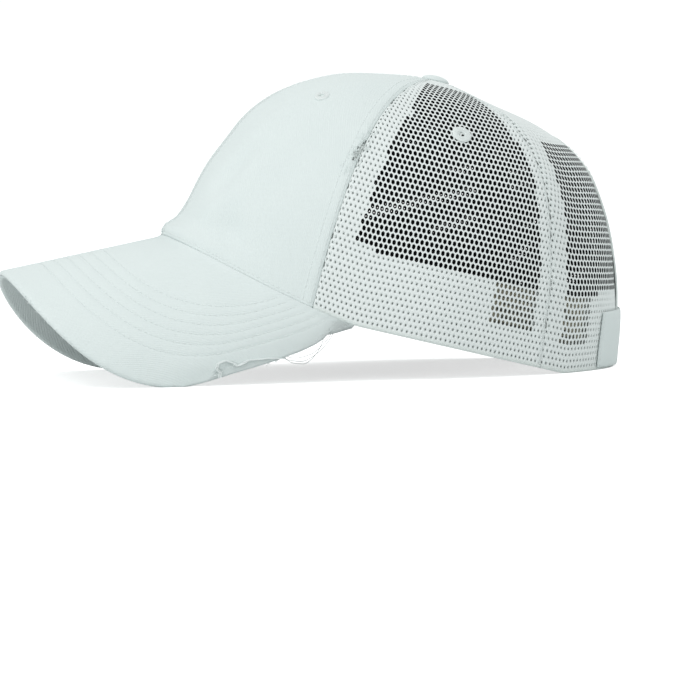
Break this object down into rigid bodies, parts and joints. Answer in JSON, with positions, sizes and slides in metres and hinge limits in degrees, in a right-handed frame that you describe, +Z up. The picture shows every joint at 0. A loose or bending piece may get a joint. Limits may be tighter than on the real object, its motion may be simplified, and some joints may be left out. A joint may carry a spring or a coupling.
{
  "type": "ponytail baseball cap",
  "caption": "White washed-cotton and net baseball cap with an arched peak and a tall opening at the back for a ponytail, resting on its hem.",
  "frame": {"origin": "centre of the bounding box's underside, on the surface the cap rests on", "axes": "+X the wearer's left, +Y from the peak towards the back of the head, +Z up"},
  "size_m": [0.1532, 0.276, 0.131],
  "materials": {
    "washed_twill": "matte",
    "net_mesh": "satin",
    "sewn_trim": "matte",
    "seam_tape": "matte",
    "sweatband_cloth": "matte",
    "hook_and_loop": "matte",
    "label_cloth": "matte"
  },
  "bodies": {
    "root": {"front_panel_left": "washed_twill", "front_panel_right": "washed_twill", "side_mesh_left": "net_mesh", "side_mesh_right": "net_mesh", "back_mesh_left": "net_mesh", "back_mesh_right": "net_mesh", "eyelet_front_left": "sewn_trim", "eyelet_front_right": "sewn_trim", "eyelet_side_left": "sewn_trim", "eyelet_side_right": "sewn_trim", "seam_tape_front_left": "seam_tape", "seam_tape_front_right": "seam_tape", "seam_tape_back_left": "seam_tape", "seam_tape_back_right": "seam_tape", "centre_tape_front": "seam_tape", "centre_tape_back": "seam_tape", "sweatband": "sweatband_cloth", "peak_upper": "washed_twill", "peak_under": "washed_twill", "top_button": "sewn_trim", "ponytail_binding": "seam_tape", "closure_strap": "washed_twill", "closure_hook": "hook_and_loop", "closure_loop": "hook_and_loop", "care_label": "label_cloth"}
  },
  "joints": []
}
